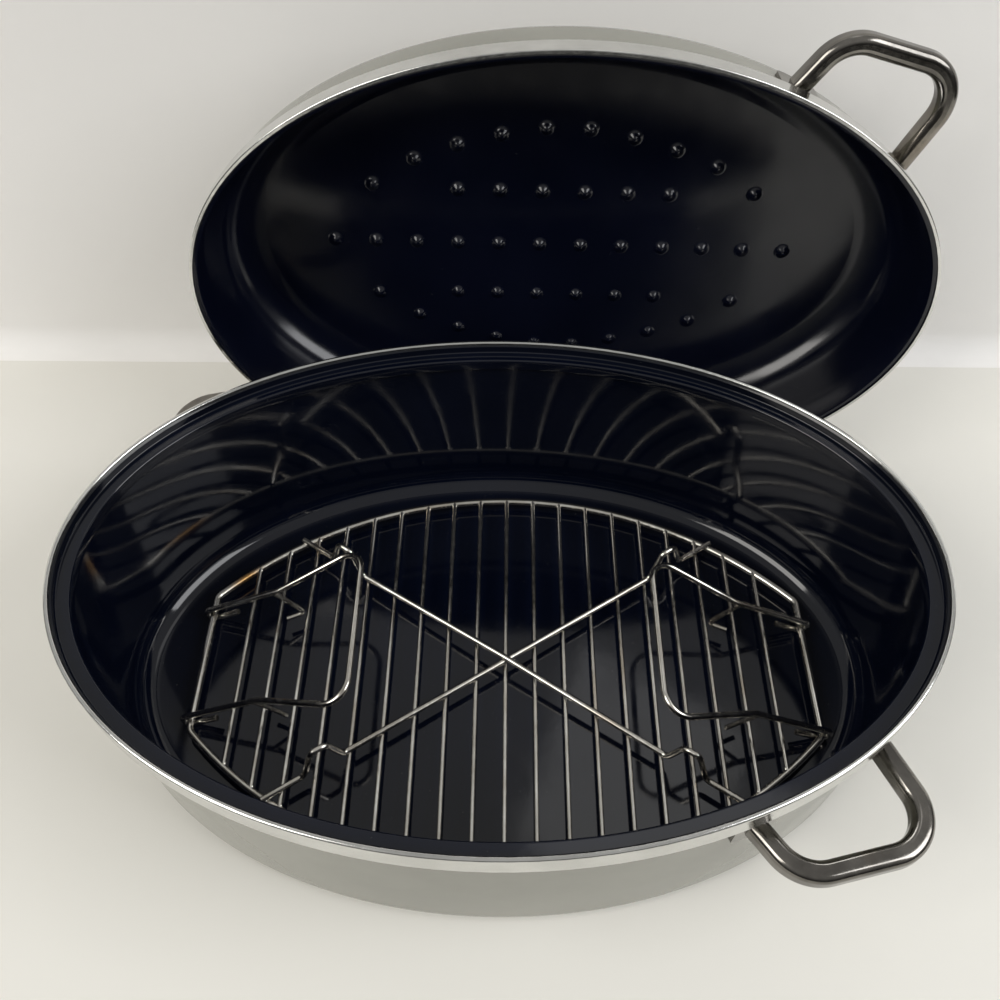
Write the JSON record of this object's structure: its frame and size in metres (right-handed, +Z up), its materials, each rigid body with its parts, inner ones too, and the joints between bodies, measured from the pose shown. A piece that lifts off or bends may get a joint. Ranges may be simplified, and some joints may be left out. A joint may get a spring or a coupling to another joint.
{
  "type": "roasting pan with rack",
  "caption": "Oval enamelled roasting pan with its lid standing behind it and a lift-out wire rack with two hinged lifting bails.",
  "frame": {"origin": "centre of the pan's flat base, on the table", "axes": "+X along the pan's long axis, towards the end with the near handle; +Y from the open front of the pan towards the lid that stands behind it; +Z up"},
  "size_m": [0.4483, 0.3703, 0.2718],
  "materials": {
    "enamel": "glossy vitreous enamel, nearly black inside and light grey outside, on steel sheet",
    "polished_band": "polished stainless steel",
    "handle_steel": "satin stainless steel, polished by use on top",
    "rack_wire": "bright stainless steel wire"
  },
  "bodies": {
    "pan": {"pan_body": "enamel", "pan_handle_far": "handle_steel", "pan_handle_far_plate_1": "handle_steel", "pan_handle_far_plate_2": "handle_steel", "pan_handle_near": "handle_steel", "pan_handle_near_plate_1": "handle_steel", "pan_handle_near_plate_2": "handle_steel", "pan_rim_band": "polished_band"},
    "rack": {"rack_diagonal_high": "rack_wire", "rack_diagonal_low": "rack_wire", "rack_hoop": "rack_wire", "rack_rod_01": "rack_wire", "rack_rod_02": "rack_wire", "rack_rod_03": "rack_wire", "rack_rod_04": "rack_wire", "rack_rod_05": "rack_wire", "rack_rod_06": "rack_wire", "rack_rod_07": "rack_wire", "rack_rod_08": "rack_wire", "rack_rod_09": "rack_wire", "rack_rod_10": "rack_wire", "rack_rod_11": "rack_wire", "rack_rod_12": "rack_wire", "rack_rod_13": "rack_wire", "rack_rod_14": "rack_wire", "rack_rod_15": "rack_wire", "rack_rod_16": "rack_wire", "rack_rod_17": "rack_wire", "rack_rod_18": "rack_wire", "rack_rod_19": "rack_wire"},
    "bail_left": {"bail_left_prop_1": "rack_wire", "bail_left_prop_2": "rack_wire", "bail_left_wire": "rack_wire"},
    "bail_right": {"bail_right_prop_1": "rack_wire", "bail_right_prop_2": "rack_wire", "bail_right_wire": "rack_wire"},
    "lid": {"lid_body": "enamel", "lid_handle_lower": "handle_steel", "lid_handle_lower_plate_1": "handle_steel", "lid_handle_lower_plate_2": "handle_steel", "lid_handle_upper": "handle_steel", "lid_handle_upper_plate_1": "handle_steel", "lid_handle_upper_plate_2": "handle_steel", "lid_rim_band": "polished_band"}
  },
  "joints": [
    {"name": "rack_lift", "type": "slide", "parent": "pan", "child": "rack", "axis": [0, 0, 1], "range_m": [0, 0.15]},
    {"name": "bail_left_hinge", "type": "hinge", "parent": "rack", "child": "bail_left", "pos_m": [-0.166, 0, 0.00815], "axis": [0, -1, 0], "range_deg": [0, 63.5]},
    {"name": "bail_right_hinge", "type": "hinge", "parent": "rack", "child": "bail_right", "pos_m": [0.1734, 0, 0.00815], "axis": [0, 1, 0], "range_deg": [0, 63.5]},
    {"name": "lid_lift", "type": "slide", "parent": "pan", "child": "lid", "axis": [0, 0.1219, 0.9925], "range_m": [0, 0.15]}
  ]
}
